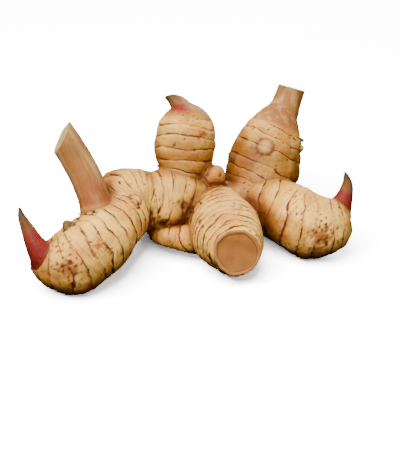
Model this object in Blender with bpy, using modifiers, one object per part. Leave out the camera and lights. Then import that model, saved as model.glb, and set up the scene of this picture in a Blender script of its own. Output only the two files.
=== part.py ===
"""Galangal root: one branched rhizome, lying on a table on its own fingers.

The root grew as one piece, so it is one closed solid. Each branch is a curve whose
radius swells and narrows along its stations. The branches are fused into one skin,
the two stems and the front finger are cut flat, and the underside is worn flat by a
hair where it touches the table.

Metres, +Z up, +X along the longest extent, -Y towards the front finger's cut end.
The origin is on the table, under the middle of the root.
"""

from math import radians

import bmesh
import bpy
from mathutils import Matrix, Vector

MM = 0.001

# Driving dimensions, millimetres.
VOXEL = 1.0            # cell of the skin that fuses the branches
SMOOTHING_PASSES = 6   # rounds the creases between branches
KEPT_TRIANGLES = 5200  # of the fused skin, before the cuts
REST_TRIM = 0.45       # depth of the flats under the fingers
CUTTER = 60.0          # edge of each cutting block

# Branches: stations along the middle of each, (x, y, z, radius), millimetres.
BRANCHES = {
    "left_finger": [
        (-64.0, -39.0, 12.5, 8.5),
        (-59.5, -40.0, 13.3, 12.0),
        (-52.5, -39.5, 14.7, 15.0),
        (-45.0, -35.0, 18.8, 15.0),
        (-37.5, -25.0, 22.0, 13.5),
        (-31.5, -12.0, 24.0, 12.5),
    ],
    "left_shoot": [
        (-64.5, -40.0, 14.5, 8.0),
        (-67.0, -43.0, 20.0, 6.0),
        (-70.0, -43.0, 25.5, 4.5),
        (-73.0, -41.0, 31.5, 3.0),
        (-75.5, -39.0, 36.5, 1.8),
        (-76.5, -37.0, 40.0, 0.8),
    ],
    "left_stem": [
        (-41.0, -26.0, 22.0, 7.0),
        (-43.0, -22.5, 29.5, 7.4),
        (-45.2, -19.0, 37.0, 7.2),
        (-48.6, -15.5, 45.5, 7.3),
        (-54.0, -12.0, 55.0, 7.2),
        (-60.3, -8.5, 64.5, 6.8),
        (-64.0, -6.5, 69.5, 6.6),
    ],
    "body": [
        (-35.0, -7.0, 25.0, 13.3),
        (-29.5, 0.0, 24.6, 16.4),
        (-20.0, 1.0, 24.2, 13.2),
        (-10.5, 5.0, 23.2, 15.8),
        (-2.0, 7.0, 22.0, 12.5),
        (6.5, 13.0, 20.5, 8.5),
        (17.0, 14.0, 18.0, 9.5),
        (27.0, 16.5, 16.0, 12.8),
    ],
    "back_stub": [
        (-11.0, 6.0, 22.0, 13.0),
        (-13.5, 15.0, 15.5, 13.0),
        (-15.0, 22.0, 11.7, 11.6),
    ],
    "round_finger": [
        (-8.0, 8.0, 27.0, 9.5),
        (-5.0, 13.0, 35.0, 11.0),
        (-3.5, 16.0, 40.5, 13.4),
        (-3.0, 19.0, 47.0, 14.7),
        (-2.5, 21.5, 52.0, 13.1),
        (-2.2, 23.5, 55.5, 9.6),
        (-4.0, 26.3, 60.0, 5.7),
        (-6.5, 28.0, 63.5, 4.0),
        (-9.5, 29.0, 65.5, 2.4),
        (-12.5, 30.0, 66.0, 0.9),
    ],
    "small_bud": [
        (7.5, 12.5, 27.0, 5.0),
        (10.0, 9.6, 32.6, 5.9),
        (10.6, 8.4, 35.8, 4.0),
    ],
    "front_finger": [
        (6.5, 14.0, 20.5, 7.5),
        (11.0, 6.5, 18.5, 11.0),
        (14.5, -9.5, 17.6, 15.9),
        (17.5, -20.5, 16.5, 16.1),
        (19.5, -29.0, 16.2, 13.2),
        (20.3, -33.0, 16.2, 11.0),
        (20.8, -36.0, 16.2, 9.2),
    ],
    "side_nub": [
        (9.5, -13.0, 14.0, 8.5),
        (0.0, -13.2, 12.0, 6.9),
        (-6.5, -12.2, 11.6, 5.6),
        (-12.0, -11.0, 11.4, 4.4),
        (-17.5, -7.5, 11.0, 3.4),
    ],
    "upright_finger": [
        (26.5, 16.0, 13.6, 13.3),
        (31.5, 23.0, 19.5, 16.4),
        (35.0, 28.0, 28.0, 17.4),
        (37.5, 32.5, 36.0, 16.4),
        (39.6, 36.0, 42.0, 14.0),
        (41.3, 38.5, 46.5, 11.4),
        (43.0, 40.5, 49.5, 9.2),
        (45.5, 43.0, 53.5, 7.7),
        (47.6, 45.5, 58.5, 7.0),
        (51.0, 49.5, 67.0, 6.6),
    ],
    "right_finger": [
        (29.0, 26.0, 17.0, 13.0),
        (37.5, 12.5, 17.0, 14.0),
        (45.5, 3.5, 17.0, 14.8),
        (54.0, -6.0, 15.8, 15.5),
        (61.5, -8.5, 15.9, 14.0),
        (66.0, -7.5, 16.6, 10.2),
    ],
    "right_shoot": [
        (68.5, -4.0, 17.0, 7.2),
        (71.0, -1.5, 22.5, 5.4),
        (73.0, 0.0, 28.0, 3.8),
        (74.0, 1.0, 33.0, 2.6),
        (73.5, 2.0, 36.5, 1.6),
        (73.0, 3.0, 38.5, 0.8),
    ],
}

# Flat cuts: (name, point on the cut, direction that faces out of the root).
CUTS = [
    ("left_stem_cut", (-59.6, -9.3, 61.5), (-0.84, -0.06, 0.52)),
    ("upright_stem_cut", (49.5, 48.0, 63.8), (0.26, 0.30, 0.92)),
    ("front_scar", (20.8, -37.2, 16.0), (0.12, -0.97, 0.20)),
]


def clear_scene():
    """Remove the objects that the scene starts with."""
    for thing in list(bpy.data.objects):
        bpy.data.objects.remove(thing, do_unlink=True)


def new_collection(name):
    """Add a collection to the scene and return it."""
    group = bpy.data.collections.new(name)
    bpy.context.scene.collection.children.link(group)
    return group


def skin_material():
    """Cream-tan root skin."""
    material = bpy.data.materials.new("galangal skin")
    material.use_nodes = True
    shader = material.node_tree.nodes["Principled BSDF"]
    shader.inputs["Base Color"].default_value = (0.66, 0.42, 0.19, 1.0)
    shader.inputs["Roughness"].default_value = 0.55
    shader.inputs["Metallic"].default_value = 0.0
    return material


def branch_mesh(name, stations):
    """Sweep a circle along a smooth curve through the stations, and close its ends."""
    curve = bpy.data.curves.new(name, "CURVE")
    curve.dimensions = "3D"
    curve.bevel_depth = MM
    curve.bevel_resolution = 6
    curve.resolution_u = 8
    curve.use_fill_caps = True
    spline = curve.splines.new("BEZIER")
    spline.radius_interpolation = "CARDINAL"
    spline.bezier_points.add(len(stations) - 1)
    for point, (x, y, z, radius) in zip(spline.bezier_points, stations):
        point.co = Vector((x, y, z)) * MM
        point.radius = radius
        point.handle_left_type = "AUTO"
        point.handle_right_type = "AUTO"
    guide = bpy.data.objects.new(name, curve)
    bpy.context.scene.collection.objects.link(guide)
    graph = bpy.context.evaluated_depsgraph_get()
    mesh = bpy.data.meshes.new_from_object(guide.evaluated_get(graph))
    bpy.data.objects.remove(guide, do_unlink=True)
    bpy.data.curves.remove(curve)
    return mesh


def add_end_balls(shape, stations):
    """Round both ends of a branch with balls of the end radii."""
    for x, y, z, radius in (stations[0], stations[-1]):
        place = Matrix.Translation(Vector((x, y, z)) * MM)
        bmesh.ops.create_icosphere(shape, subdivisions=3, radius=radius * MM, matrix=place)


def overlapping_branches():
    """One mesh that holds every branch and its end balls, still overlapping."""
    shape = bmesh.new()
    for name, stations in BRANCHES.items():
        mesh = branch_mesh(name, stations)
        shape.from_mesh(mesh)
        bpy.data.meshes.remove(mesh)
        add_end_balls(shape, stations)
    bmesh.ops.remove_doubles(shape, verts=shape.verts, dist=1e-6)
    result = bpy.data.meshes.new("galangal_root")
    shape.to_mesh(result)
    shape.free()
    return result


def evaluated_mesh(thing):
    """The object's mesh with its modifiers applied."""
    graph = bpy.context.evaluated_depsgraph_get()
    return bpy.data.meshes.new_from_object(thing.evaluated_get(graph))


def fused_root(group):
    """Fuse the branches into one skin, smooth it and thin out its triangles."""
    root = bpy.data.objects.new("galangal_root", overlapping_branches())
    group.objects.link(root)
    fuse = root.modifiers.new("fuse", "REMESH")
    fuse.mode = "VOXEL"
    fuse.voxel_size = VOXEL * MM
    smooth = root.modifiers.new("smooth", "SMOOTH")
    smooth.factor = 0.5
    smooth.iterations = SMOOTHING_PASSES
    fine_mesh = evaluated_mesh(root)
    fine_triangles = sum(len(face.vertices) - 2 for face in fine_mesh.polygons)
    root.modifiers.clear()
    root.data = fine_mesh
    thin = root.modifiers.new("thin out", "DECIMATE")
    thin.ratio = KEPT_TRIANGLES / fine_triangles
    root.data = evaluated_mesh(root)
    root.modifiers.clear()
    root.data.name = "galangal_root"
    return root


def cutting_block(name, point, outward, group):
    """A cube whose one face lies on the cut, with the cube on the outer side."""
    outward = Vector(outward).normalized()
    turn = outward.to_track_quat("Z", "Y").to_matrix().to_4x4()
    centre = Vector(point) * MM + outward * (CUTTER / 2 * MM)
    shape = bmesh.new()
    bmesh.ops.create_cube(shape, size=CUTTER * MM)
    mesh = bpy.data.meshes.new(name)
    shape.to_mesh(mesh)
    shape.free()
    block = bpy.data.objects.new(name, mesh)
    block.matrix_world = Matrix.Translation(centre) @ turn
    block.display_type = "WIRE"
    block.hide_render = True
    group.objects.link(block)
    return block


def table_block(group):
    """A slab that trims the root's underside to the table plane."""
    block = cutting_block("table_trim", (0.0, 0.0, 0.0), (0.0, 0.0, -1.0), group)
    block.scale = (4.0, 4.0, 1.0)
    return block


def cut(root, block):
    """Take the block's volume off the root."""
    difference = root.modifiers.new(block.name, "BOOLEAN")
    difference.operation = "DIFFERENCE"
    difference.solver = "EXACT"
    difference.object = block


def rest_on_table(root):
    """Lower the skin so that its lowest point is just below the table plane."""
    lowest = min(vertex.co.z for vertex in root.data.vertices)
    root.data.transform(Matrix.Translation((0.0, 0.0, -lowest - REST_TRIM * MM)))


def build():
    """Model the root."""
    clear_scene()
    root_group = new_collection("galangal root")
    cutter_group = new_collection("galangal root cutters")
    root = fused_root(root_group)
    rest_on_table(root)
    root.data.materials.append(skin_material())
    for name, point, outward in CUTS:
        cut(root, cutting_block(name, point, outward, cutter_group))
    cut(root, table_block(cutter_group))
    root.data.shade_smooth()


build()
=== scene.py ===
"""Looks of the galangal root: one branched rhizome, lying on a table on its own fingers.

The skin is one closed surface. Each branch is a tube whose radius swells and narrows
along its path. The tubes are fused, and every vertex is then drawn onto the smooth
union of the branches and moved out or in by the growth rings, buds, dents and scars.

Shapes are worked out in millimetres and put into the meshes in metres.
"""

from functools import partial

import bmesh
import bpy
import numpy as np
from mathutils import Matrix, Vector


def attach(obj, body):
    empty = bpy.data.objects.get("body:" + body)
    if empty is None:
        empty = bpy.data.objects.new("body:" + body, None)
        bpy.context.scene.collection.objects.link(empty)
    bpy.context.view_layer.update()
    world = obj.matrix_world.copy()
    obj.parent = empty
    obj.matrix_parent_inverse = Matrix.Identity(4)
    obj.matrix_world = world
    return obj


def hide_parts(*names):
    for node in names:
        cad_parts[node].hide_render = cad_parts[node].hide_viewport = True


bl_info = {
    "name": "Galangal Root",
    "version": (1, 0, 0),
    "blender": (4, 5, 0),
    "location": "3D View > Sidebar > Galangal",
    "description": "Builds the skin, the cut faces and the stage of a galangal root",
    "category": "Object",
}

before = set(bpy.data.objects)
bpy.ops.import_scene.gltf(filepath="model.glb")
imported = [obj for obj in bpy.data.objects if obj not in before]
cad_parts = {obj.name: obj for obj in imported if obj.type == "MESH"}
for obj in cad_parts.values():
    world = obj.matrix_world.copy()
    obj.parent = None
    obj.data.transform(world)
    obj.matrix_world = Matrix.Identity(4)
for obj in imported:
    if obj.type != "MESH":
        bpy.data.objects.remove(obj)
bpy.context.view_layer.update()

MM = 0.001

# Branches: stations along the middle of each, (x, y, z, radius), millimetres.
BRANCHES = {
    "left_finger": [
        (-64, -39, 12.5, 8.5), (-59.5, -40, 13.3, 12), (-52.5, -39.5, 14.7, 15),
        (-45, -35, 18.8, 15), (-37.5, -25, 22, 13.5), (-31.5, -12, 24, 12.5),
    ],
    "left_shoot": [
        (-64.5, -40, 14.5, 8), (-67, -43, 20, 6), (-70, -43, 25.5, 4.5), (-73, -41, 31.5, 3),
        (-75.5, -39, 36.5, 1.8), (-76.5, -37, 40, 0.7),
    ],
    "left_stem": [
        (-41, -26, 22, 7), (-43, -22.5, 29.5, 7.4), (-45.2, -19, 37, 7.2),
        (-48.6, -15.5, 45.5, 7.3), (-54, -12, 55, 7.2), (-60.3, -8.5, 64.5, 6.8),
        (-64, -6.5, 69.5, 6.6),
    ],
    "body": [
        (-35, -7, 25, 13.3), (-29.5, 0, 24.6, 16.4), (-20, 1, 24.2, 13.2), (-10.5, 5, 23.2, 15.8),
        (-2, 7, 22, 12.5), (6.5, 13, 20.5, 8.5), (17, 14, 18, 9.5), (27, 16.5, 16, 12.8),
    ],
    "back_stub": [(-11, 6, 22, 13), (-13.5, 15, 15.5, 13), (-15, 22, 11.7, 11.6)],
    "round_finger": [
        (-8, 8, 27, 9.5), (-5, 13, 35, 11), (-3.5, 16, 40.5, 13.4), (-3, 19, 47, 14.7),
        (-2.5, 21.5, 52, 13.1), (-2.2, 23.5, 55.5, 9.6), (-4, 26.3, 60, 5.7), (-6.5, 28, 63.5, 4),
        (-9.5, 29, 65.5, 2.4), (-12.5, 30, 66, 0.8),
    ],
    "small_bud": [(7.5, 12.5, 27, 5), (10, 9.6, 32.6, 5.9), (10.6, 8.4, 35.8, 4)],
    "front_finger": [
        (6.5, 14, 20.5, 7.5), (11, 6.5, 18.5, 11), (14.5, -9.5, 17.6, 15.9),
        (17.5, -20.5, 16.5, 16.1), (19.5, -29, 16.2, 13.2), (20.3, -33, 16.2, 11),
        (20.8, -36, 16.2, 9.2),
    ],
    "side_nub": [
        (9.5, -13, 14, 8.5), (0, -13.2, 12, 6.9), (-6.5, -12.2, 11.6, 5.6), (-12, -11, 11.4, 4.4),
        (-17.5, -7.5, 11, 3.4),
    ],
    "upright_finger": [
        (26.5, 16, 13.6, 13.3), (31.5, 23, 19.5, 16.4), (35, 28, 28, 17.4), (37.5, 32.5, 36, 16.4),
        (39.6, 36, 42, 14), (41.3, 38.5, 46.5, 11.4), (43, 40.5, 49.5, 9.2), (45.5, 43, 53.5, 7.7),
        (47.6, 45.5, 58.5, 7), (51, 49.5, 67, 6.6),
    ],
    "right_finger": [
        (29, 26, 17, 13), (37.5, 12.5, 17, 14), (45.5, 3.5, 17, 14.8), (54, -6, 15.8, 15.5),
        (61.5, -8.5, 15.9, 14), (66, -7.5, 16.6, 10.2),
    ],
    "right_shoot": [
        (68.5, -4, 17, 7.2), (71, -1.5, 22.5, 5.4), (73, 0, 28, 3.8), (74, 1, 33, 2.6),
        (73.5, 2, 36.5, 1.6), (73, 3, 38.5, 0.7),
    ],
}

# Growth rings: where along each branch they lie (mm), and how their planes lean: the
# shift along the branch for each millimetre off its middle in x, y and z. The last value
# says which way the scales point: +1 towards the path's end, -1 towards its start.
RINGS = {
    "left_finger": ((1.5, 6.7, 13.2, 18.7, 22.2, 27, 32, 37, 42, 46), (0.08, 0, -0.07), -1),
    "left_shoot": ((1, 11, 60), (0.9, 0, 0), 1),
    "left_stem": ((7.5, 10.5, 13.5, 90), (0.1, 0, 0), 1),
    "body": ((4, 9, 13.3, 17.7, 22.8, 30.6, 36.5, 42, 48, 54, 60), (0, 0, -0.25), 1),
    "back_stub": ((6, 10.5, 15, 19, 23), (0, 0.1, 0), 1),
    "round_finger": ((4, 9.5, 14.8, 20.4, 25.8, 30.5, 34.6, 70), (0, 0, -0.08), 1),
    "small_bud": ((0.5, 4.2, 7.6, 60), (0.3, 0, 0.2), 1),
    "front_finger": (
        (4, 10, 16, 21, 25.5, 29.5, 33.6, 37.2, 40.6, 44.4, 48.2, 52.2), (0, 0, 0.17), 1,
    ),
    "side_nub": ((8, 13.5, 18.5, 24, 28.5), (-0.1, 0, -0.2), 1),
    "upright_finger": ((5.5, 11, 16.9, 22.3, 30.6, 37, 42.5, 90), (0.19, 0, 0), 1),
    "right_finger": ((8, 14.5, 22, 32, 38, 45, 53.5), (0.45, 0.27, -0.1), 1),
    "right_shoot": ((2, 8.5, 60), (0.7, 0.3, 0), 1),
}

# How unevenly the rings run, next to the usual one.
WOBBLE = {"front_finger": 2.1, "body": 1.3, "small_bud": 1.5, "side_nub": 1.5}

# How tanned the older skin is along a branch: (station mm, 0 to 1). Branches not listed
# are pale, and one below 0 gets less painted shade in its folds and underneath.
TANNED = {
    "left_finger": [(0, 0.4), (18, 0.15), (30, 0)],
    "body": [(0, 0.35), (40, 0.45)],
    "back_stub": [(0, 0.4), (30, 0.6)],
    "round_finger": [(0, 0.5), (8, 0.85), (20, 0.65), (28, 0.45), (34, 0)],
    "small_bud": [(0, 0.6), (12, 0.6)],
    "side_nub": [(0, 0), (8, -0.6), (30, -0.7)],
    "upright_finger": [(0, 0.8), (12, 1), (29, 0.95), (36, 0.5), (43, 0.1)],
    "right_finger": [(0, 0.8), (12, 0.55), (24, 0.1), (40, 0)],
}

# Tone along a branch: (station mm, pink, smooth stem skin, olive, dark dry tip).
TONES = {
    "left_shoot": [
        (0, 0.3, 0.6, 0, 0), (5, 1, 1, 0, 0), (17, 1, 1, 0.15, 0), (21.5, 0.6, 1, 0.8, 0),
        (25, 0.2, 1, 1, 0.35), (29, 0, 1, 1, 1),
    ],
    "left_stem": [
        (0, 0, 0, 0, 0), (10, 0.2, 0.1, 0, 0), (15, 0.5, 1, 0, 0), (24, 0.3, 1, 0, 0),
        (30, 0.05, 1, 0, 0), (42, 0, 1, 0.4, 0), (47, 0, 1, 0.15, 0),
    ],
    "round_finger": [
        (0, 0, 0, 0, 0), (33, 0, 0, 0, 0), (36.5, 0.35, 0.7, 0, 0), (38.5, 1, 1, 0, 0),
        (43, 0.9, 1, 0.2, 0), (46, 0.2, 1, 0.9, 0), (50.5, 0, 1, 1, 1),
    ],
    "upright_finger": [
        (0, 0, 0, 0, 0), (42.5, 0, 0, 0, 0), (44.5, 0.12, 0.9, 0, 0), (51, 0.22, 1, 0, 0),
        (57, 0, 1, 0.05, 0), (64, 0, 1, 0.35, 0),
    ],
    "right_shoot": [
        (0, 0.5, 0.5, 0, 0), (4, 1, 1, 0, 0), (14, 1, 1, 0.1, 0), (18, 0.55, 1, 0.7, 0),
        (20.5, 0.1, 1, 1, 0.3), (23.5, 0, 1, 1, 1),
    ],
}

# Buds: low round knobs, (x, y, z, radius, height), millimetres.
BUDS = [
    (35.5, 19, 44.4, 3.9, 1.3), (-26.1, -16.6, 33.3, 2.6, 0.8), (21.1, -19.5, 31.7, 2.1, 0.7),
    (54, 30.5, 38.5, 2.2, 1.3), (-18.2, -7.6, 11.8, 2.7, 0.6), (60, 8, 19.5, 3, 1.1),
    (38, 47, 27.5, 3.4, 1.2), (-32, 15.5, 28, 3, 1), (-5, 34.5, 46, 2.6, 0.9),
]

# Dents: small hollows with dark floors, (x, y, z, radius, depth, reddish 0-1).
DENTS = [
    (-53.8, -53.4, 17.4, 3.6, 0.4, 0.9), (-56.6, -52.2, 18, 2.3, 0.5, 0.1),
    (-54, -52.4, 20.6, 1.7, 0.4, 0.1), (-51.4, -53.4, 15.4, 1.9, 0.4, 0.2),
    (-57.4, -47.4, 24.5, 1.5, 0.4, 0.1), (-58.2, -49.4, 21.8, 1, 0.3, 0.1),
    (10.6, 3.6, 32.5, 0.9, 0.3, 0), (9.6, 3.6, 28.8, 2.6, 0.3, 0.2), (5, 5, 29, 1.8, 0.3, 0.1),
    (15.2, 5.4, 28.6, 1.9, 0.3, 0.1), (8, 5, 37.4, 0.8, 0.3, 0), (13.6, 5.2, 36.2, 1, 0.3, 0.3),
    (-44, -46.3, 27.9, 0.8, 0.3, 0), (-62.7, -50.5, 12.4, 0.9, 0.4, 0),
    (-41.5, -46.5, 26, 2, 0.3, 0.9), (-25.5, -20.3, 31.6, 1.6, 0.5, 0),
    (-23.7, -6.4, 36.1, 1.1, 0.4, 0), (-19.4, -13.8, 25.1, 2.4, 0.8, 0),
    (-19, -14.4, 20.8, 2.6, 0.8, 0.1), (-13.5, -10.2, 19, 2.9, 0.8, 0),
    (-3.6, -9.6, 27.6, 2.4, 0.9, 0.1), (-0.2, -8.4, 24.4, 2.2, 1, 0),
    (6.6, -30.5, 15.5, 2.4, 0.5, 0.2), (8.8, 9.3, 30.5, 0.7, 0.3, 0), (5.4, 11.1, 55, 2, 0.5, 0.8),
    (7.4, 21.4, 58.3, 0.9, 0.4, 0), (1.2, 5.2, 49.3, 0.7, 0.4, 0), (-7.8, 6.4, 51.9, 0.8, 0.4, 0),
    (10.4, -24.9, 29.3, 0.9, 0.4, 0), (4, -22.6, 25, 1, 0.4, 0), (28.6, -33.2, 23.4, 0.7, 0.3, 0),
    (-5.5, -17.3, 14.6, 0.7, 0.3, 0), (-18.8, -10.3, 11.6, 0.7, 0.3, 0.1),
    (10.2, -35.6, 14.2, 2.2, 0.5, 0), (11.2, -36.8, 10.5, 1.8, 0.4, 0),
    (48.5, 26.8, 46, 1.5, 0.9, 0.1), (40.8, 13.7, 34.9, 0.9, 0.4, 0),
    (34.9, 11.2, 31.8, 0.8, 0.3, 0), (27.3, 10.5, 26.7, 0.9, 0.3, 0),
    (31.3, 28, 49.1, 0.8, 0.3, 0), (67.2, -14.7, 22.9, 2, 1, 0), (60.8, -21.8, 17, 4.4, 0.4, 1),
    (61.6, -21.6, 15, 2.4, 0.5, 0.1), (59.6, -22.4, 14.2, 1.3, 0.4, 0),
    (62.6, -20.5, 20.9, 1.9, 0.5, 0.1), (58.3, -22, 19.8, 1, 0.4, 0.3),
    (63.6, -20.2, 18, 1, 0.4, 0.1), (48.8, -6.8, 30, 0.9, 0.3, 0),
    (49.7, -15.7, 26.1, 1, 0.3, 0.2), (33.6, -4.6, 18.2, 2.2, 0.8, 0),
    (-44.9, -30.5, 33.8, 1.2, 0.4, 0.1), (44, 45, 36, 1.2, 0.4, 0), (30, 45, 30, 1.5, 0.5, 0.1),
    (-20, 17.5, 29.5, 1.3, 0.5, 0), (58, 5, 25.5, 1.6, 0.5, 0.1), (-44, -22, 12.5, 1.8, 0.6, 0.2),
]

# Dry rootlet stubs: (x, y, z, length, radius), millimetres, set on the nearest skin.
STUBS = [
    (20.5, 22.5, 37, 2.4, 1), (-57.5, -34.5, 33, 2.8, 2.6), (-52, -32, 34, 1.3, 0.8),
    (53.5, 33.5, 42, 2, 1.2), (-44, -30.5, 35, 1.4, 0.6), (-47.5, -29, 33, 1.1, 0.6),
    (-33.5, -9, 40, 1.2, 0.5), (-11.5, 12, 38.5, 1.3, 0.6), (68, -12, 26, 1.4, 0.6),
    (4.5, -12, 30, 1.4, 0.6), (29.5, -18, 27, 1.2, 0.5), (7.5, -26, 24, 1.2, 0.6),
]
HIDDEN_STUBS = 16   # more of them, strewn over the back and the underside

# Flat cuts: (name, point on the cut, direction that faces out of the root).
CUTS = [
    ("left_stem_cut", (-59.6, -9.3, 61.5), (-0.84, -0.06, 0.52)),
    ("upright_stem_cut", (49.5, 48.0, 63.8), (0.26, 0.30, 0.92)),
    ("front_scar", (20.8, -37.2, 16.0), (0.12, -0.97, 0.20)),
]

PATH_STEP = 0.5     # mm between samples of a branch's path
FILLET = 0.9        # mm, softness of the creases where branches meet
BLEND = 3.0         # mm over which one branch's tan passes into the next's
END_PITCH = 6.0     # mm between the rings past a branch's last listed one
PRESSED = 0.45      # mm that the lowest skin is pressed flat by the table
CUT_REACH = 20.0    # mm round a cut's middle that belongs to the cut branch
SEED = 41


# ---- Paths and fields ----


def unit(vectors):
    """The vectors, or the one vector, scaled to length 1."""
    return vectors / np.linalg.norm(vectors, axis=-1, keepdims=True)


def branch_path(stations):
    """Smooth path through the stations.

    Between two stations each coordinate and the radius is the cubic whose slope at a
    station is half the difference of its two neighbours. Returns the centres, radii,
    unit tangents, stations along the path and the slope of the radius.
    """
    points = np.array(stations, float)
    ends = np.vstack([2 * points[0] - points[1], points, 2 * points[-1] - points[-2]])
    pieces = []
    for a, b, c, d in zip(ends[:-3], ends[1:-2], ends[2:-1], ends[3:]):
        count = max(4, int(np.linalg.norm((c - b)[:3]) / PATH_STEP))
        t = np.linspace(0.0, 1.0, count, endpoint=False)[:, None]
        pieces.append(
            0.5 * (2 * b + (c - a) * t + (2 * a - 5 * b + 4 * c - d) * t**2
                   + (3 * b - a - 3 * c + d) * t**3)
        )
    path = np.vstack(pieces + [points[-1:]])
    centres, radii = path[:, :3], np.maximum(path[:, 3], 0.3)
    stations_mm = np.r_[0.0, np.cumsum(np.linalg.norm(np.diff(centres, axis=0), axis=1))]
    return {
        "centres": centres,
        "radii": radii,
        "tangents": unit(np.gradient(centres, axis=0)),
        "along": stations_mm,
        "slope": np.gradient(radii, stations_mm),
    }


def resting_paths():
    """Paths of all branches, lowered so that the table presses the lowest skin flat."""
    paths = {name: branch_path(stations) for name, stations in BRANCHES.items()}
    lowest = min((path["centres"][:, 2] - path["radii"]).min() for path in paths.values())
    for path in paths.values():
        path["centres"][:, 2] -= lowest + PRESSED
    return paths


PATHS = resting_paths()


def near_path(points, path):
    """Distance of each point to one branch's skin, its station and its offset.

    The nearest sample is the one whose ball's surface is nearest. The point is moved
    along the tangent there by up to one step, except at the path's ends. The last value
    is the direction that faces out of the branch.
    """
    centres, radii = path["centres"], path["radii"]
    square = (points**2).sum(1)[:, None] + (centres**2).sum(1)[None] - 2 * points @ centres.T
    gap = np.sqrt(np.maximum(square, 0.0)) - radii
    nearest = gap.argmin(1)
    offset = points - centres[nearest]
    ahead = (offset * path["tangents"][nearest]).sum(1)
    step = np.where((nearest == 0) | (nearest == len(radii) - 1), 0.0, PATH_STEP)
    slide = np.clip(ahead, -step, step)
    side = offset - slide[:, None] * path["tangents"][nearest]
    length = np.maximum(np.linalg.norm(side, axis=1), 1e-6)
    distance = length - radii[nearest] - slide * path["slope"][nearest]
    return distance, path["along"][nearest] + ahead, offset, side / length[:, None]


def root_field(points):
    """Smooth union of all branches.

    The distance is minus the fillet times the log of the summed exponentials of each
    branch's distance, so it equals the nearest branch's away from creases. Returned with
    it are its gradient, and the index, station and offset of the nearest branch. Behind
    is how much farther the second nearest branch is, and fold is how far its skin turns
    away from the nearest's, from 0 for level skins to 1 for opposite ones. Tanned is the
    branches' tan, shared softly between those that meet.
    """
    parts = [near_path(points, path) for path in PATHS.values()]
    distances = np.array([part[0] for part in parts])
    nearest = distances.argmin(0)
    least = distances.min(0)
    weights = np.exp(-(distances - least) / FILLET)
    total = weights.sum(0)
    gradient = (weights[:, :, None] * np.array([part[3] for part in parts])).sum(0)
    gradient /= total[:, None]
    pick = np.arange(len(points))
    station = np.array([part[1] for part in parts])[nearest, pick]
    offset = np.array([part[2] for part in parts])[nearest, pick]
    outward = np.array([part[3] for part in parts])
    second = np.argsort(distances, axis=0)[1]
    behind = distances[second, pick] - least
    fold = 0.5 - 0.5 * (outward[nearest, pick] * outward[second, pick]).sum(1)
    share = np.exp(-(distances - least) / BLEND)
    tans = [TANNED.get(name, [(0.0, 0.0)]) for name in PATHS]
    tans = [np.interp(part[1], *np.array(tan).T) for part, tan in zip(parts, tans)]
    tanned = (np.array(tans) * share).sum(0) / share.sum(0)
    return {
        "distance": least - FILLET * np.log(total),
        "gradient": gradient,
        "branch": nearest,
        "station": station,
        "offset": offset,
        "behind": behind,
        "fold": fold,
        "tanned": tanned,
    }


def painted_occlusion_shade(points, outward):
    """How hidden the skin is, from 0 in the open to 1 in a tight fold.

    A probe stands off the skin by each reach. It counts as hidden by the part of its
    reach that another branch or the table has taken, and the reaches are averaged. The
    skin's colour is darkened by this amount: painted shade in folds and underneath.
    """
    hidden = np.zeros(len(points))
    for reach, weight in ((2.5, 0.25), (6.0, 0.35), (13.0, 0.40)):
        probe = points + reach * outward
        room = np.minimum(in_chunks(probe, root_field)["distance"], probe[:, 2])
        hidden += weight * np.clip(1.0 - room / reach, 0.0, 1.0)
    return hidden


def in_chunks(points, work, size=20000):
    """Run a field function on slices of the points, to keep memory small."""
    results = [work(points[i:i + size]) for i in range(0, len(points), size)]
    return {key: np.concatenate([part[key] for part in results]) for key in results[0]}


def waves(points, wavelength, seed):
    """Smooth random field of about unit size: sixteen plane waves in random directions."""
    random = np.random.default_rng(SEED + seed)
    directions = unit(random.normal(size=(16, 3)))
    lengths = wavelength * random.uniform(0.7, 1.4, 16)
    phases = random.uniform(0.0, 2 * np.pi, 16)
    return np.sin(points @ (directions * (2 * np.pi / lengths)[:, None]).T + phases).sum(1) / np.sqrt(8)


# ---- Rings and relief ----


def ring_count(points, field):
    """Count rings along each branch, as a number that is whole on every ring.

    A ring's signed distance is the station, plus the lean times the offset, plus some
    waviness, minus the ring's place. Between two rings the count rises evenly, in the
    direction that the scales point. Past the last ring more follow at an even pitch.
    """
    count = np.zeros(len(points))
    pitch = np.full(len(points), 5.0)
    wavy = 0.42 * waves(points, 15.0, 1) + 0.10 * waves(points, 5.0, 2)
    for index, name in enumerate(BRANCHES):
        here = field["branch"] == index
        places, lean, _ = RINGS[name]
        beyond = 40
        marks = (places[0] - END_PITCH * beyond,) + places + (places[-1] + END_PITCH * beyond,)
        numbers = np.r_[-beyond, np.arange(len(places)), len(places) - 1 + beyond]
        reach = field["station"][here] + field["offset"][here] @ np.array(lean)
        reach = reach + WOBBLE.get(name, 1.0) * wavy[here]
        count[here] = np.interp(reach, marks, numbers)
        spacing = np.r_[END_PITCH, np.diff(places), END_PITCH]
        pitch[here] = spacing[np.searchsorted(places, reach)]
    way = np.array([RINGS[name][2] for name in BRANCHES])[field["branch"]]
    return count * way, pitch


def tones(field):
    """Pink, stem, olive and dark amounts, read from each branch's tone table."""
    values = np.zeros((len(field["branch"]), 4))
    for index, name in enumerate(BRANCHES):
        if name not in TONES:
            continue
        here = field["branch"] == index
        table = np.array(TONES[name])
        station = field["station"][here]
        values[here] = np.stack([np.interp(station, table[:, 0], table[:, k]) for k in range(1, 5)], 1)
        # The round finger's shoot is pinker on its left.
        if name == "round_finger":
            values[here, 0] *= np.clip(0.6 - 0.2 * field["offset"][here, 0], 0.0, 1.0)
    return values


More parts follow.
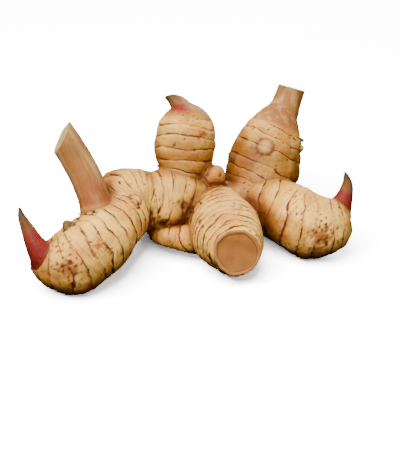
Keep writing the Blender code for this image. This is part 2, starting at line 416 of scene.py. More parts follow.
def ring_relief(points, field):
    """Height of the skin above the plain branch, from its rings.

    Between rings the skin swells by 0.3 mm, like half a sine. Just before a ring the
    scale's edge lifts by 0.3 mm, and on the ring there is a groove 0.3 mm deep and about
    0.9 mm wide. Strength wanders along each ring.
    """
    count, pitch = ring_count(points, field)
    phase = np.mod(count, 1.0)
    from_ring = np.minimum(phase, 1.0 - phase) * pitch
    before = (1.0 - phase) * pitch
    strength = np.clip(0.75 + 0.45 * waves(points, 14.0, 3), 0.15, 1.4)
    swell = 0.30 * np.sin(np.pi * phase) * np.clip(pitch / 6.0, 0.5, 1.3)
    edge = 0.30 * np.exp(-before / 1.3)
    groove = -0.30 * np.exp(-(from_ring / 0.45) ** 2)
    smooth_skin = tones(field)[:, 1]
    return strength * (swell + edge + groove) * (1.0 - 0.92 * smooth_skin)


def bud_relief(points):
    """Buds as flattened domes with a groove round each foot."""
    height = np.zeros(len(points))
    for x, y, z, radius, rise in BUDS:
        away = np.linalg.norm(points - (x, y, z), axis=1) / radius
        height += rise * np.sqrt(np.clip(1.0 - away**2, 0.0, 1.0))
        height -= 0.5 * np.exp(-((away - 1.12) * radius / 0.55) ** 2)
    return height


def dent_relief(points):
    """Dents as bell-shaped hollows with ragged edges and a slightly raised rim."""
    height = np.zeros(len(points))
    ragged = 0.12 * waves(points, 3.5, 4)
    for x, y, z, radius, depth, _ in DENTS:
        away = np.linalg.norm(points - (x, y, z), axis=1) / radius
        away = away * (1.0 + ragged)
        height -= depth * np.exp(-away**2)
        height += 0.18 * depth * np.exp(-((away - 1.6) / 0.35) ** 2)
    return height


def skin_relief(points, field):
    """All relief of the skin: slow lumps, rings, buds and dents, fading at creases."""
    open_skin = 1.0 - np.exp(-field["behind"] / 1.2)
    stem = tones(field)[:, 1]
    lumps = 0.30 * waves(points, 17.0, 5) + 0.10 * waves(points, 7.0, 6)
    fine = 0.05 * waves(points, 2.4, 7)
    relief = (lumps + fine) * (1.0 - 0.75 * stem)
    relief += ring_relief(points, field) * open_skin
    return relief + bud_relief(points) + dent_relief(points)


# ---- Meshes ----


def wall_faces(rows, sides):
    """Quads between the rings of a tube, whose points are stored ring by ring."""
    i, j = np.meshgrid(np.arange(rows - 1), np.arange(sides), indexing="ij")
    k = (j + 1) % sides
    corners = [i * sides + j, i * sides + k, (i + 1) * sides + k, (i + 1) * sides + j]
    return np.stack(corners, -1).reshape(-1, 4)


def tube(path, sides=48):
    """A closed tube: circles of the path's radius, carried along it without twist.

    Each circle point is centre + radius * (cos a * u + sin a * v), where u and v span
    the plane across the path. Both ends are closed by rings that shrink like a ball.
    """
    centres, tangents, radii = path["centres"], path["tangents"], path["radii"]
    u = unit(np.cross(tangents, (0.31, 0.83, -0.46)))
    v = np.cross(tangents, u)
    bend = np.linspace(0.0, 0.5 * np.pi, 8)[1:]
    start = (centres[0] - np.outer(np.sin(bend) * radii[0], tangents[0]))[::-1]
    end = centres[-1] + np.outer(np.sin(bend) * radii[-1], tangents[-1])
    middle = np.vstack([start, centres, end])
    shrink = np.maximum(np.cos(bend), 1e-3)
    radius = np.r_[(shrink * radii[0])[::-1], radii, shrink * radii[-1]]
    ends = len(bend)
    u = np.vstack([np.repeat(u[:1], ends, 0), u, np.repeat(u[-1:], ends, 0)])
    v = np.vstack([np.repeat(v[:1], ends, 0), v, np.repeat(v[-1:], ends, 0)])
    angle = np.linspace(0.0, 2 * np.pi, sides, endpoint=False)
    ring = np.cos(angle)[None, :, None] * u[:, None] + np.sin(angle)[None, :, None] * v[:, None]
    points = middle[:, None] + radius[:, None, None] * ring
    return points.reshape(-1, 3), wall_faces(len(middle), sides)


def mesh_object(name, points, faces):
    """Link an object whose mesh has these points (mm) and faces."""
    mesh = bpy.data.meshes.new(name)
    mesh.from_pydata((points * MM).tolist(), [], [list(map(int, face)) for face in faces])
    mesh.update()
    thing = bpy.data.objects.new(name, mesh)
    bpy.context.scene.collection.objects.link(thing)
    return thing


def mesh_arrays(mesh):
    """Vertices (mm) and triangle corners of a mesh."""
    mesh.calc_loop_triangles()
    points = np.empty(len(mesh.vertices) * 3)
    mesh.vertices.foreach_get("co", points)
    corners = np.empty(len(mesh.loop_triangles) * 3, dtype=np.int64)
    mesh.loop_triangles.foreach_get("vertices", corners)
    return points.reshape(-1, 3) / MM, corners.reshape(-1, 3)


def fused_tubes(cell):
    """Fuse all tubes into one skin of even cells, and return its vertices and faces."""
    shapes = [tube(path) for path in PATHS.values()]
    starts = np.cumsum([0] + [len(points) for points, _ in shapes[:-1]])
    points = np.vstack([points for points, _ in shapes])
    faces = np.vstack([faces + start for (_, faces), start in zip(shapes, starts)])
    guide = mesh_object("tubes", points, faces)
    fuse = guide.modifiers.new("fuse", "REMESH")
    fuse.mode = "VOXEL"
    fuse.voxel_size = cell * MM
    graph = bpy.context.evaluated_depsgraph_get()
    mesh = bpy.data.meshes.new_from_object(guide.evaluated_get(graph))
    remove_object(guide)
    result = mesh_arrays(mesh)
    bpy.data.meshes.remove(mesh)
    return result


def settle(points, rounds=4):
    """Draw the points onto the smooth union by Newton steps along its gradient."""
    for _ in range(rounds):
        field = in_chunks(points, root_field)
        size = np.maximum((field["gradient"] ** 2).sum(1), 0.3)
        points = points - (field["distance"] / size)[:, None] * field["gradient"]
    return points


def stub_places():
    """Where the rootlet stubs stand: the listed ones, then more strewn behind.

    The strewn ones lie on rings, at seeded angles round the branch on its far side.
    """
    random = np.random.default_rng(SEED)
    thick = ["left_finger", "body", "back_stub", "upright_finger", "right_finger", "round_finger"]
    places = [list(stub) for stub in STUBS]
    for number in range(HIDDEN_STUBS):
        name = thick[number % len(thick)]
        path, rings = PATHS[name], RINGS[name][0][:-1]
        row = int(np.abs(path["along"] - rings[random.integers(1, len(rings))]).argmin())
        side = random.normal(size=3) + (0.0, 1.6, 0.3)
        side -= side @ path["tangents"][row] * path["tangents"][row]
        spot = path["centres"][row] + path["radii"][row] * unit(side)
        places.append([*spot, random.uniform(0.9, 1.9), random.uniform(0.4, 0.75)])
    return np.array(places)


def stub_shapes(sides=12, rows=9):
    """All rootlet stubs in one mesh: short cones that bend, rooted 0.8 mm in the skin.

    The axis is foot + t * length * outward + t squared * bend. The radius falls as the
    square root of one minus t, so the tip is round, and swells at the foot.
    """
    places = stub_places()
    feet = settle(places[:, :3])
    outward = unit(root_field(feet)["gradient"])
    random = np.random.default_rng(SEED + 1)
    points, faces = [], []
    t = np.linspace(0.0, 1.0, rows)
    angle = np.linspace(0.0, 2 * np.pi, sides, endpoint=False)
    walls = wall_faces(rows, sides)
    for foot, way, (length, radius) in zip(feet, outward, places[:, 3:]):
        u = unit(np.cross(way, (0.6, 0.1, 0.79)))
        v = np.cross(way, u)
        bend = random.uniform(-0.5, 0.5, 2) * length
        axis = foot - 0.8 * way + np.outer(t * (length + 0.8), way)
        axis += (t**2)[:, None] * (bend[0] * u + bend[1] * v)
        wide = radius * np.sqrt(np.maximum(1.0 - t**2, 0.002)) * (1.0 + 0.5 * np.exp(-6.0 * t))
        flute = 1.0 + 0.12 * np.sin(3 * angle + foot[0])
        ring = np.outer(flute * np.cos(angle), u) + np.outer(flute * np.sin(angle), v)
        grid = axis[:, None] + wide[:, None, None] * ring
        start = sum(map(len, points))
        points.append(np.vstack([grid.reshape(-1, 3), axis[:1], axis[-1:]]))
        bottom, top = rows * sides, rows * sides + 1
        last = (rows - 1) * sides
        faces += (walls + start).tolist()
        faces += [[start + (n + 1) % sides, start + n, start + bottom] for n in range(sides)]
        faces += [[start + last + n, start + last + (n + 1) % sides, start + top] for n in range(sides)]
    return np.vstack(points), faces


def cut_off(points, triangles):
    """Take away what lies past each cut plane, leaving the skin open there."""
    thing = mesh_object("skin_trim", points, triangles)
    shape = bmesh.new()
    shape.from_mesh(thing.data)
    for _, place, outward in CUTS:
        middle = Vector(place)
        faces = [f for f in shape.faces if (f.calc_center_median() / MM - middle).length < CUT_REACH]
        edges = {edge for face in faces for edge in face.edges}
        corners = {corner for face in faces for corner in face.verts}
        bmesh.ops.bisect_plane(
            shape,
            geom=faces + list(edges) + list(corners),
            dist=1e-7,
            plane_co=middle * MM,
            plane_no=Vector(outward).normalized(),
            clear_outer=True,
        )
    bmesh.ops.triangulate(shape, faces=[f for f in shape.faces if len(f.verts) > 3])
    shape.to_mesh(thing.data)
    shape.free()
    arrays = mesh_arrays(thing.data)
    remove_object(thing)
    return arrays


def remove_object(thing):
    """Delete an object and its mesh."""
    mesh = thing.data
    bpy.data.objects.remove(thing, do_unlink=True)
    bpy.data.meshes.remove(mesh)


def open_rims(points, triangles):
    """Rim of each cut: vertex numbers in order of angle round the cut's outward direction."""
    edges = np.sort(np.vstack([triangles[:, (0, 1)], triangles[:, (1, 2)], triangles[:, (2, 0)]]), 1)
    edges, uses = np.unique(edges, axis=0, return_counts=True)
    loose = np.unique(edges[uses == 1])
    rims = []
    for _, place, outward in CUTS:
        normal = unit(np.array(outward))
        near = np.linalg.norm(points[loose] - place, axis=1) < CUT_REACH
        rim = loose[near & (np.abs((points[loose] - place) @ normal) < 0.02)]
        u = unit(np.cross(normal, (0.0, 0.6, 0.8)))
        v = np.cross(normal, u)
        arm = points[rim] - points[rim].mean(0)
        rims.append(rim[np.argsort(np.arctan2(arm @ v, arm @ u))])
    return rims


def cut_face(rim, outward, dish, lip, rows=20):
    """A cut face: rings that shrink from the rim to the middle, with a dish and a lip.

    A point is middle + t * (rim - middle) + outward * height, with t from 1 at the rim
    to 0 in the middle. The height is the dish's depth times t squared minus one, plus
    the lip, a bell just inside the rim, plus slow unevenness.
    """
    middle = rim.mean(0)
    reach = np.linspace(1.0, 0.0, rows + 1)[1:-1]
    flat = middle + reach[:, None, None] * (rim - middle)
    height = dish * (reach**2 - 1.0) + lip * np.exp(-(((reach - 0.93) / 0.055) ** 2))
    fade = np.sin(0.5 * np.pi * reach)[:, None]
    uneven = waves(flat.reshape(-1, 3), 9.0, 9).reshape(flat.shape[:2])
    inner = flat + (height[:, None] + 0.12 * uneven * fade)[:, :, None] * outward
    points = np.vstack([inner.reshape(-1, 3), middle - dish * outward])
    return points, np.r_[np.repeat(reach, len(rim)), 0.0]


def cut_face_mesh(rim, start, rows=20):
    """Faces of a cut face, quads between its rings and a fan in the middle."""
    count = len(rim)
    inner = start + np.arange((rows - 1) * count).reshape(rows - 1, count)
    rings = np.vstack([rim, inner])
    after = np.roll(rings, -1, axis=1)
    quads = np.stack([rings[:-1], after[:-1], after[1:], rings[1:]], -1).reshape(-1, 4)
    last = np.full(count, start + (rows - 1) * count)
    fan = np.stack([rings[-1], after[-1], last], -1)
    return quads.tolist() + fan.tolist()


def marks_at(points):
    """Dark, reddish and pale bud amounts round the dents and buds."""
    dark = np.zeros(len(points))
    red = np.zeros(len(points))
    pale = np.zeros(len(points))
    ragged = 0.35 * waves(points, 2.2, 8)
    for x, y, z, radius, _, reddish in DENTS:
        away = np.linalg.norm(points - (x, y, z), axis=1) / radius * (1.0 + ragged)
        core = np.exp(-(away / 0.9) ** 4)
        dark = np.maximum(dark, core * (1.0 - 0.6 * reddish))
        red = np.maximum(red, reddish * np.exp(-(away / 1.3) ** 4))
    for x, y, z, radius, _ in BUDS:
        away = np.linalg.norm(points - (x, y, z), axis=1) / radius
        pale = np.maximum(pale, np.clip(1.15 - away, 0.0, 1.0))
        # The dark ring round each bud's foot is a painted shadow in its groove.
        dark = np.maximum(dark, 0.75 * np.exp(-((away * (1.0 + 0.2 * ragged) - 1.12) * radius / 0.5) ** 2))
    return dark, red, pale


def skin_shape(cell):
    """The whole skin: points, faces, which material each face has, and its attributes."""
    points, triangles = fused_tubes(cell)
    points = settle(points)
    points, triangles = cut_off(points, triangles)
    rims = open_rims(points, triangles)
    field = in_chunks(points, root_field)
    outward = unit(field["gradient"])
    move = skin_relief(points, field)[:, None] * outward
    for rim, (_, _, direction) in zip(rims, CUTS):
        normal = unit(np.array(direction))
        move[rim] -= (move[rim] @ normal)[:, None] * normal
    count, pitch = ring_count(points, field)
    dark, red, pale = marks_at(points)
    # Painted shade in the creases where branches meet, stronger where the two skins turn away from each
    # other.
    crease_shade = np.exp(-field["behind"] / 0.9) * np.clip(field["fold"] * 3.0, 0.0, 1.0)
    seam = np.exp(-(field["behind"] / 0.9) ** 2)
    # The grain runs round each branch in two skewed directions, and along its station.
    turned = points @ np.array([[0.8, 0.6, 0.0], [-0.6, 0.8, 0.0], [0.0, 0.0, 1.0]])
    across = turned[:, 0] - points[:, 0] + field["offset"][:, 2]
    attributes = {
        "ring": count,
        "pitch": pitch,
        "grain": np.c_[field["offset"][:, 0], across, field["station"]],
        "tone": tones(field),
        "marks": np.c_[dark, red, pale, crease_shade],
        "seam": seam,
        "tanned": field["tanned"],
        # Occlusion by other branches and the table, used as painted shade; less on branches tanned below
        # 0.
        "painted_occlusion_shade": painted_occlusion_shade(points, outward) * np.clip(1.0 + field["tanned"], 0.0, 1.0),
        "reach": np.zeros(len(points)),
    }
    points = points + move
    points[:, 2] = np.maximum(points[:, 2], 0.0)
    faces = triangles.tolist()
    kinds = [0] * len(faces)
    for number, (rim, (_, _, direction)) in enumerate(zip(rims, CUTS)):
        normal = unit(np.array(direction))
        scarred = number == len(CUTS) - 1
        cap, reach = cut_face(points[rim], normal, 0.4, 0.4 if scarred else 0.1)
        cap_faces = cut_face_mesh(rim, len(points))
        points = np.vstack([points, cap])
        faces += cap_faces
        kinds += [2 if scarred else 1] * len(cap_faces)
        for key, values in attributes.items():
            blank = np.zeros((len(cap),) + values.shape[1:])
            attributes[key] = np.concatenate([values, blank])
        attributes["reach"][rim] = 1.0
        attributes["reach"][-len(cap):] = reach
    return points, faces, kinds, attributes, np.concatenate(rims)


def put_attributes(mesh, attributes):
    """Write the arrays into the mesh as point attributes."""
    kinds = {1: ("FLOAT", "value"), 3: ("FLOAT_VECTOR", "vector"), 4: ("FLOAT_COLOR", "color")}
    for name, values in attributes.items():
        width = 1 if values.ndim == 1 else values.shape[1]
        kind, field = kinds[width]
        layer = mesh.attributes.new(name, kind, "POINT")
        layer.data.foreach_set(field, np.ascontiguousarray(values, dtype=np.float32).ravel())


def sharpen(mesh, rims):
    """Make the edges that run along the rims of the cuts sharp."""
    ends = np.empty(len(mesh.edges) * 2, dtype=np.int64)
    mesh.edges.foreach_get("vertices", ends)
    on_rim = np.zeros(len(mesh.vertices), dtype=bool)
    on_rim[rims] = True
    mesh.edges.foreach_set("use_edge_sharp", on_rim[ends.reshape(-1, 2)].all(1))


# ---- Materials ----


def srgb(code):
    """Linear colour of an sRGB hex value such as #E9CDA0."""
    parts = np.array([int(code[i:i + 2], 16) for i in (1, 3, 5)]) / 255.0
    linear = np.where(parts <= 0.04045, parts / 12.92, ((parts + 0.055) / 1.055) ** 2.4)
    return (*linear.tolist(), 1.0)


def add_node(tree, kind, inputs=(), out=0, **settings):
    """Add a shader node, with settings on it and values or links in its inputs.

    The inputs are listed from the first on, or are a dictionary by number or name.

    Returns one of its outputs, or the node itself when out is None.
    """
    node = tree.nodes.new("ShaderNode" + kind)
    for name, value in settings.items():
        setattr(node, name, value)
    for key, value in inputs.items() if isinstance(inputs, dict) else enumerate(inputs):
        if isinstance(value, bpy.types.NodeSocket):
            tree.links.new(value, node.inputs[key])
        else:
            node.inputs[key].default_value = value
    return node if out is None else node.outputs[out]


def new_material(name):
    """An empty node material, and add_node bound to its tree."""
    material = bpy.data.materials.new(name)
    material.use_nodes = True
    material.node_tree.nodes.clear()
    return material, partial(add_node, material.node_tree)


def turned_place(add):
    """Object coordinates, turned so that no noise lies square to a cut face."""
    return add("Mapping", {0: add("TexCoord", out=3), 2: (0.5, 0.7, 0.9)})


def close_tree(add, colour, height, strength, depth, surface):
    """End a tree: a bump of some strength and depth (m), the shader and its output."""
    bump = add("Bump", {"Strength": strength, "Distance": depth, "Height": height})
    shader = add("BsdfPrincipled", {"Base Color": colour, "Normal": bump, **surface})
    add("OutputMaterial", (shader,), out=None)


def flesh(weight, radius, scale):
    """Light that sinks into wet flesh: how much, how far for each colour, and its scale (m)."""
    return {"Subsurface Weight": weight, "Subsurface Radius": radius, "Subsurface Scale": scale}


def skin_material(settings):
    """Fresh rhizome skin: thin corky scales over pale, juicy flesh.

    It grew in soil and was washed. The eye sees matte cream and tan scales with fine
    fibres along them, thin brown dry edges at each ring, dark crevices, rose shoots
    whose scales dry to olive at the tip, and peach stems that are smoother. The darkness of
    the crevices and folds, the darker low skin, the browner band just past each ring and
    the ring round each bud's foot are painted shade; the pale scale edges are partly a
    painted highlight.
    """
    material, add = new_material("fresh_rhizome_skin")
    ring, pitch, seam, hidden, tanned = (
        add("Attribute", attribute_name=name, out=2)
        for name in ("ring", "pitch", "seam", "painted_occlusion_shade", "tanned")
    )
    grain = add("Attribute", attribute_name="grain", out=1)
    tone_node, marks_node = (
        add("Attribute", attribute_name=name, out=None) for name in ("tone", "marks")
    )
    tone = add("SeparateColor", (tone_node.outputs[0],), out=None)
    marks = add("SeparateColor", (marks_node.outputs[0],), out=None)
    pink, stem, olive, dry = (*tone.outputs[:3], tone_node.outputs[3])
    dark, red, pale, crease_shade = (*marks.outputs[:3], marks_node.outputs[3])
    height = add("SeparateXYZ", (add("TexCoord", out=3),), out=2)
    place = turned_place(add)

    # Round patterns: 16 mm blotches, 10 mm smears, 5 mm mottling and 1.2 mm specks.
    blotch, smear, mottle, speck = (
        add("TexNoise", {0: place, 2: scale, 3: detail, 4: roughness})
        for scale, detail, roughness in ((62, 2, 0.5), (105, 2, 0.5), (200, 3, 0.6), (830, 2, 0.5))
    )
    # Patterns that follow the branch: 0.5 mm fibres and 3 mm streaks along it, and
    # bands 0.8 mm wide and short dashes 0.6 mm wide across it.
    fibre, wide, band, flake = (
        add("TexNoise", {
            0: add("VectorMath", (grain, per_mm), operation="MULTIPLY"),
            2: 1.0,
            3: detail,
            4: roughness,
        })
        for per_mm, detail, roughness in (
            ((1.9, 1.9, 0.22), 3, 0.65),
            ((0.30, 0.30, 0.03), 2, 0.5),
            ((0.10, 0.10, 1.25), 2, 0.6),
            ((0.24, 0.24, 1.7), 2, 0.5),
        )
    )

    # Distance to the nearest ring, in millimetres, and where it is between two rings.
    phase = add("Math", (ring,), operation="FRACT")
    left = add("Math", (1.0, phase), operation="SUBTRACT")
    nearest = add("Math", (phase, left), operation="MINIMUM")
    away = add("Math", (nearest, pitch), operation="MULTIPLY")
    wander = add("Math", (mottle, 0.5, -0.25), operation="MULTIPLY_ADD")
    away = add("Math", (away, wander), operation="ADD")

    # Smooth stems: tan with paler streaks and darker fibres.
    peach = srgb("#B47E42")
    for amount, tint in (
        (blotch, settings.stem),
        (add("MapRange", (wide, 0.48, 0.66, 0.0, 0.5)), "#DDB070"),
        (add("MapRange", (fibre, 0.45, 0.75, 0.0, 0.35)), "#7A4216"),
    ):
        peach = add("Mix", {0: amount, 6: peach, 7: srgb(tint)}, data_type="RGBA", out=2)

    # Amounts of the scale colours: tanner towards the ring below; darker low down and in folds, which is
    # painted shade.
    patchy = add("MapRange", (smear, 0.35, 0.65, 0.65, 1.0))
    brown = add("Math", (tanned, patchy), operation="MULTIPLY", use_clamp=True)
    pale_edge = add("Math", (brown, -0.33, 0.45), operation="MULTIPLY_ADD")
    fold_shade = add("MapRange", (hidden, 0.06, 0.50, 0.0, 0.75))
    blush = add("Math", (fibre, 0.5, 0.72), operation="MULTIPLY_ADD")

    # Ring lines: 0.3 to 1.3 mm wide, broken, with dark spots by them. In the painted fold shade they are
    # wider and less broken, which is painted shade too.
    width = add("MapRange", (mottle, 0.40, 0.70, 0.16, 0.85))
    width = add("Math", (fold_shade, 0.3, width), operation="MULTIPLY_ADD")
    line = add("Math", (away, width), operation="DIVIDE")
    line = add("MapRange", (line, 1.15, 0.35), interpolation_type="SMOOTHSTEP")
    broken = add("MapRange", (smear, 0.36, 0.56, 0.12, 1.0))
    broken = add("Math", (fold_shade, 0.6, broken), operation="MULTIPLY_ADD", use_clamp=True)
    rough_skin = add("Math", (1.0, stem), operation="SUBTRACT")
    unseamed = add("Math", (1.0, seam), operation="SUBTRACT")
    for part in (broken, rough_skin, unseamed):
        line = add("Math", (line, part), operation="MULTIPLY")
    spots = add("MapRange", (speck, 0.66, 0.72))
    for part in (add("MapRange", (away, 2.4, 0.3)), rough_skin, broken):
        spots = add("Math", (spots, part), operation="MULTIPLY")
    dash = add("MapRange", (flake, 0.60, 0.66, 0.0, 0.55))
    # Painted shade: the most shut-in folds darken further, mixed in at the end with the creases.
    fold = add("MapRange", (hidden, 0.44, 0.80, 0.0, 0.9))

    # All colours in order, each over the ones before it.
    colour = srgb(settings.cream)
    for amount, tint in (
        (add("MapRange", (blotch, 0.40, 0.70)), settings.tan),
        # Painted shade: darker towards the table, up to half strength, below 18 mm.
        (add("MapRange", (height, 0.018, 0.001, 0.0, 0.5)), settings.low_shade),
        (brown, "#6C3A04"),
        # Pinkish cream at each scale's edge: partly its own colour, partly a painted highlight on the
        # raised edge.
        (add("MapRange", (phase, 0.55, 0.97, 0.0, pale_edge)), settings.scale_edge),
        # Painted shade: browner just past each ring, under the edge of the scale before it.
        (add("MapRange", (phase, 0.30, 0.02, 0.0, 0.42)), settings.foot),
        (add("MapRange", (fibre, 0.52, 0.80, 0.0, 0.42)), "#A56422"),
        (add("MapRange", (band, 0.54, 0.76, 0.0, 0.45)), "#9C5A1C"),
        # Painted shade in folds and under the root, from the occlusion amount.
        (fold_shade, "#84430C"),
        (stem, peach),
        (add("Math", (blush, pink), operation="MULTIPLY", use_clamp=True), settings.shoot),
        (add("Math", (olive, 0.85), operation="MULTIPLY"), "#4A3208"),
        (dry, "#33240A"),
        (line, settings.line),
        (spots, "#6B3F22"),
        (add("Math", (dash, rough_skin), operation="MULTIPLY"), "#7A4218"),
        (add("Math", (pale, 0.65), operation="MULTIPLY", use_clamp=True), "#D9A066"),
        (add("Math", (red, 0.75), operation="MULTIPLY", use_clamp=True), "#A8502C"),
        # Dark dent floors, and the painted shadow in the groove round each bud's foot.
        (dark, "#42200C"),
        # Painted shade in the creases and the most shut-in folds.
        (add("Math", (crease_shade, 0.85, fold), operation="MULTIPLY_ADD", use_clamp=True), "#5A2A04"),
    ):
        over = srgb(tint) if isinstance(tint, str) else tint
        colour = add("Mix", {0: amount, 6: colour, 7: over}, data_type="RGBA", out=2)

    # Surface: fibres, corky grain and a fine step at each ring, up to 0.3 mm deep.
    relief = add("Math", (fibre, 0.6, mottle), operation="MULTIPLY_ADD")
    step = add("Math", (line, -0.9, relief), operation="MULTIPLY_ADD")
    close_tree(add, colour, step, 0.5, 0.0003, {
        "Roughness": add("MapRange", (fibre, 0.3, 0.7, 0.46, 0.66)),
        "IOR": 1.42,
        "Specular IOR Level": 0.25,
        **flesh(0.16, (1.0, 0.45, 0.2), 0.0022),
    })
    return material


def stem_cut_material():
    """Knife-cut shoot stem: pale greenish core with bundles of fibres, dried by the air."""
    material, add = new_material("knife_cut_stem")
    place = turned_place(add)
    reach = add("Attribute", attribute_name="reach", out=2)
    pores = add("TexVoronoi", {"Vector": place, "Scale": 900.0})
    colour = srgb("#C9B477")
    for amount, tint in (
        (add("TexNoise", {0: place, 2: 320.0, 3: 3.0}), "#AE9355"),
        (add("MapRange", (pores, 0.28, 0.12, 0.0, 0.6)), "#8D6C34"),
        (add("MapRange", (reach, 0.80, 1.0, 0.0, 0.7)), "#A67C40"),
    ):
        colour = add("Mix", {0: amount, 6: colour, 7: srgb(tint)}, data_type="RGBA", out=2)
    close_tree(add, colour, pores, 0.5, 0.0003, {
        "Roughness": 0.6, "IOR": 1.4, **flesh(0.2, (1.0, 0.5, 0.25), 0.002),
    })
    return material


def scar_material():
    """Healed scar where another finger broke off: dry tan cork with faint rings."""
    material, add = new_material("dry_scar_cork")
    place = turned_place(add)
    reach = add("Attribute", attribute_name="reach", out=2)
    patch = add("TexNoise", {0: place, 2: 140.0, 3: 4.0, 4: 0.6})
    flecks = add("TexNoise", {0: place, 2: 900.0, 3: 2.0})
    turns = add("Math", (reach, 38.0), operation="MULTIPLY")
    turns = add("Math", (patch, 7.0, turns), operation="MULTIPLY_ADD")
    turns = add("Math", (turns,), operation="SINE")
    edge = add("Math", (patch, 0.24, reach), operation="MULTIPLY_ADD")
    foot = add("Math", (edge, 0.965, 0.025), operation="COMPARE")
    skin = add("Mix", {0: patch, 6: srgb("#C88C44"), 7: srgb("#96591F")}, data_type="RGBA", out=2)
    colour = srgb("#B87634")
    for amount, tint in (
        (patch, "#94541A"),
        (add("MapRange", (turns, 0.2, 1.0, 0.0, 0.16)), "#A06A40"),
        (add("MapRange", (flecks, 0.64, 0.72, 0.0, 0.5)), "#8A5533"),
        (add("MapRange", (edge, 0.97, 1.02)), skin),
        (add("Math", (foot, patch), operation="MULTIPLY"), "#6B3512"),
    ):
        over = srgb(tint) if isinstance(tint, str) else tint
        colour = add("Mix", {0: amount, 6: colour, 7: over}, data_type="RGBA", out=2)
    close_tree(add, colour, patch, 0.5, 0.0004, {
        "Roughness": 0.58, "IOR": 1.42, **flesh(0.15, (1.0, 0.45, 0.2), 0.002),
    })
    return material


def stub_material():
    """Dry rootlets and bracts: brittle brown fibre, olive where it still held some sap."""
    material, add = new_material("dry_rootlet_fibre")
    patch = add("TexNoise", {0: turned_place(add), 2: 420.0, 3: 3.0})
    patch = add("MapRange", (patch, 0.35, 0.65))
    colour = add("Mix", {0: patch, 6: srgb("#45300F"), 7: srgb("#7A5824")}, data_type="RGBA", out=2)
    close_tree(add, colour, patch, 0.6, 0.0002, {"Roughness": 0.75, "IOR": 1.4})
    return material


def floor_material(settings):
    """Matte white studio table, drawn brighter than white so that it stays pale."""
    material, add = new_material("matte_white_table")
    bright = [channel * settings.floor_gain for channel in srgb(settings.floor)[:3]]
    shader = add("BsdfDiffuse", ((*bright, 1.0),))
    add("OutputMaterial", (shader,), out=None)
    return material


# ---- Settings and operators ----


def hex_colour(name, description, default):
    """A colour setting, kept as an sRGB hex value."""
    return bpy.props.StringProperty(name=name, description=description + ", sRGB hex", default=default)


def number(name, description, default, **limits):
    """A number setting, with a unit, a subtype or limits."""
    return bpy.props.FloatProperty(name=name, description=description, default=default, **limits)


class RootSettings(bpy.types.PropertyGroup):
    """Sizes and colours of the root."""

    cell: number("Cell", "Size of the skin's mesh cells, in millimetres", 0.74, min=0.4, max=2.0)
    cream: hex_colour("Cream", "Palest scale colour", "#FFC758")
    tan: hex_colour("Tan", "Tanned scale colour", "#CC8228")
    # Painted shade for the lowest skin.
    low_shade: hex_colour("Golden", "Low, shaded scales", "#AE6A1A")
    # Partly the edge's own colour, partly a painted highlight.
    scale_edge: hex_colour("Scale edge", "Pinkish cream near a scale's edge", "#F5B871")
    # Painted shade just past each ring.
    foot: hex_colour("Scale foot", "Browner skin just past a ring", "#B66A20")
    line: hex_colour("Ring line", "Dry brown ring edge", "#552608")
    shoot: hex_colour("Shoot", "Rose shoot", "#7C1A18")
    stem: hex_colour("Stem", "Peach stem", "#8A5220")


class StageSettings(bpy.types.PropertyGroup):
    """The table, the lights and the camera."""

    floor: hex_colour("Table", "Table colour", "#F4F4F4")
    floor_gain: number("Table gain", "How many times brighter than white the table is", 8.0, min=0.0)
    key: number("Key light", "Power of the large top light", 20.0, min=0.0, unit="POWER")
    fill: number("Fill light", "Power of the front light", 3.0, min=0.0, unit="POWER")
    back: number("Back light", "Power of the light behind", 9.0, min=0.0, unit="POWER")
    sky: number("Surround", "Strength of the pale surround", 6.0, min=0.0)
    lens: number("Lens", "Focal length, millimetres", 100.0, min=10.0)
    elevation: number("Elevation", "Camera angle above the table", np.radians(28.0), subtype="ANGLE")
    distance: number("Distance", "Camera to the middle of the root", 0.635, unit="LENGTH")


class GALANGAL_OT_skin(bpy.types.Operator):
    """Build the rhizome's skin with its cut faces"""

    bl_idname = "galangal.build_skin"
    bl_label = "Rhizome Skin"

    def execute(self, context):
        settings = context.scene.galangal_root
        points, faces, kinds, attributes, rims = skin_shape(settings.cell)
        piece = mesh_object("rhizome_skin", points, faces)
        mesh = piece.data
        mesh.polygons.foreach_set("material_index", kinds)
        mesh.polygons.foreach_set("use_smooth", [True] * len(faces))
        sharpen(mesh, rims)
        put_attributes(mesh, attributes)
        mesh.update()
        for material in (skin_material(settings), stem_cut_material(), scar_material()):
            mesh.materials.append(material)
        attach(piece, "root")
        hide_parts("galangal_root")
        return {"FINISHED"}


class GALANGAL_OT_stubs(bpy.types.Operator):
    """Set the dry rootlet stubs on the skin"""

    bl_idname = "galangal.build_stubs"
    bl_label = "Rootlet Stubs"

    def execute(self, context):
        points, faces = stub_shapes()
        piece = mesh_object("rootlet_stubs", points, faces)
        piece.data.polygons.foreach_set("use_smooth", [True] * len(faces))
        piece.data.materials.append(stub_material())
        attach(piece, "root")
        return {"FINISHED"}


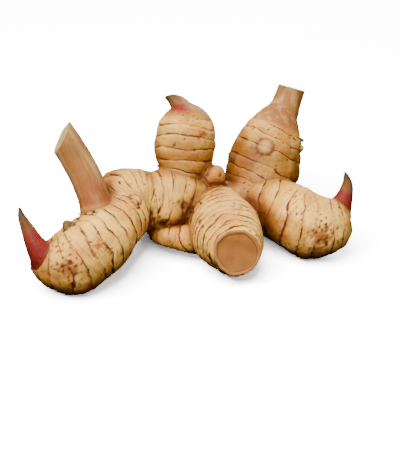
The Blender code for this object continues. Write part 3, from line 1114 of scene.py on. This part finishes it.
class GALANGAL_OT_stage(bpy.types.Operator):
    """Set the pale table, soft lights and the camera"""

    bl_idname = "galangal.build_stage"
    bl_label = "Studio Stage"

    def execute(self, context):
        settings = context.scene.galangal_stage
        corners = 2500 * np.array([(-1, -1, 0), (1, -1, 0), (1, 1, 0), (-1, 1, 0)])
        floor = mesh_object("table", corners, [(0, 1, 2, 3)])
        floor.data.materials.append(floor_material(settings))
        floor.visible_diffuse = False
        floor.visible_glossy = False
        target = Vector((4.0, 19.0, 0.0)) * MM
        soft_light("key", settings.key, 0.70, (-0.20, -0.30, 0.72), target)
        soft_light("fill", settings.fill, 0.80, (0.35, -0.85, 0.40), target)
        soft_light("back", settings.back, 0.80, (0.25, 0.90, 0.50), target)
        world = bpy.data.worlds.new("even_surround")
        world.use_nodes = True
        back = world.node_tree.nodes["Background"]
        back.inputs["Color"].default_value = (1.0, 1.0, 1.0, 1.0)
        back.inputs["Strength"].default_value = settings.sky
        world.cycles_visibility.diffuse = False
        world.cycles_visibility.glossy = False
        context.scene.world = world
        camera = bpy.data.cameras.new("camera")
        camera.lens = settings.lens
        camera.sensor_fit = "VERTICAL"
        camera.sensor_height = 36.0
        camera.clip_end = 20.0
        holder = bpy.data.objects.new("camera", camera)
        arm = Vector((0.0, -np.cos(settings.elevation), np.sin(settings.elevation)))
        holder.location = target + settings.distance * arm
        holder.rotation_euler = (-arm).to_track_quat("-Z", "Y").to_euler()
        context.scene.collection.objects.link(holder)
        context.scene.camera = holder
        return {"FINISHED"}


def soft_light(name, power, size, place, target):
    """A square soft light at a place, facing the target."""
    lamp = bpy.data.lights.new(name, "AREA")
    lamp.energy = power
    lamp.size = size
    thing = bpy.data.objects.new(name, lamp)
    thing.location = place
    thing.rotation_euler = (target - Vector(place)).to_track_quat("-Z", "Y").to_euler()
    bpy.context.scene.collection.objects.link(thing)


class GALANGAL_PT_panel(bpy.types.Panel):
    """Sidebar panel that lists the operators"""

    bl_idname = "GALANGAL_PT_panel"
    bl_label = "Galangal Root"
    bl_space_type = "VIEW_3D"
    bl_region_type = "UI"
    bl_category = "Galangal"

    def draw(self, context):
        for settings in (context.scene.galangal_root, context.scene.galangal_stage):
            for name in settings.__annotations__:
                self.layout.prop(settings, name)
        for operator in OPERATORS:
            self.layout.operator(operator.bl_idname)


OPERATORS = (GALANGAL_OT_skin, GALANGAL_OT_stubs, GALANGAL_OT_stage)
CLASSES = (RootSettings, StageSettings) + OPERATORS + (GALANGAL_PT_panel,)


def register():
    """Register the classes and hang the settings on the scene."""
    for kind in CLASSES:
        bpy.utils.register_class(kind)
    bpy.types.Scene.galangal_root = bpy.props.PointerProperty(type=RootSettings)
    bpy.types.Scene.galangal_stage = bpy.props.PointerProperty(type=StageSettings)


def unregister():
    """Undo register."""
    del bpy.types.Scene.galangal_stage
    del bpy.types.Scene.galangal_root
    for kind in reversed(CLASSES):
        bpy.utils.unregister_class(kind)


def main():
    """Build everything."""
    register()
    bpy.ops.galangal.build_skin()
    bpy.ops.galangal.build_stubs()
    bpy.ops.galangal.build_stage()


if __name__ == "__main__":
    main()
